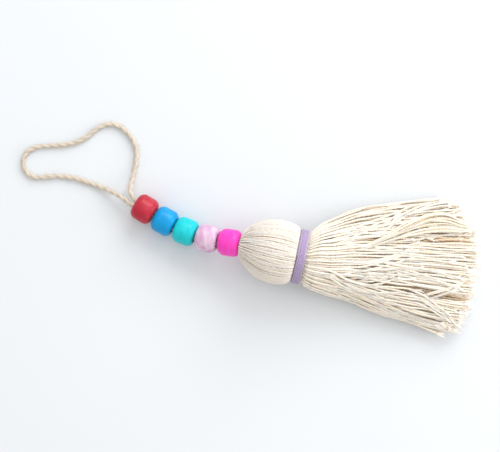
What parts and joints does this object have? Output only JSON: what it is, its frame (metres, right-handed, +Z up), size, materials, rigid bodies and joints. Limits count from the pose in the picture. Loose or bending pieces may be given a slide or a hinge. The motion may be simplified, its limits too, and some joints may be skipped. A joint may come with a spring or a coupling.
{
  "type": "tassel",
  "caption": "Cotton yarn tassel with a round ribbed head, a thread-bound neck and a spread skirt, on a jute hanging loop strung with barrel beads.",
  "frame": {"origin": "on the resting surface, under the middle of the box round the head, skirt, binding and beads, the cord left out", "axes": "+X from the cord loop towards the cut ends of the skirt, +Y up the picture, +Z up from the surface"},
  "size_m": [0.1519, 0.0692, 0.0202],
  "materials": {
    "cotton_yarn": "undyed cotton yarn, plied",
    "lavender_thread": "wound embroidery thread",
    "magenta_plastic": "glossy opaque",
    "pink_plastic": "glossy, pearly",
    "teal_plastic": "glossy opaque",
    "blue_plastic": "glossy opaque",
    "red_plastic": "glossy opaque",
    "jute": "two-ply natural twine"
  },
  "bodies": {
    "root": {"yarn_tassel": "cotton_yarn", "neck_binding": "lavender_thread", "bead_magenta": "magenta_plastic", "bead_pink": "pink_plastic", "bead_teal": "teal_plastic", "bead_blue": "blue_plastic", "bead_red": "red_plastic", "hanging_cord": "jute"}
  },
  "joints": []
}
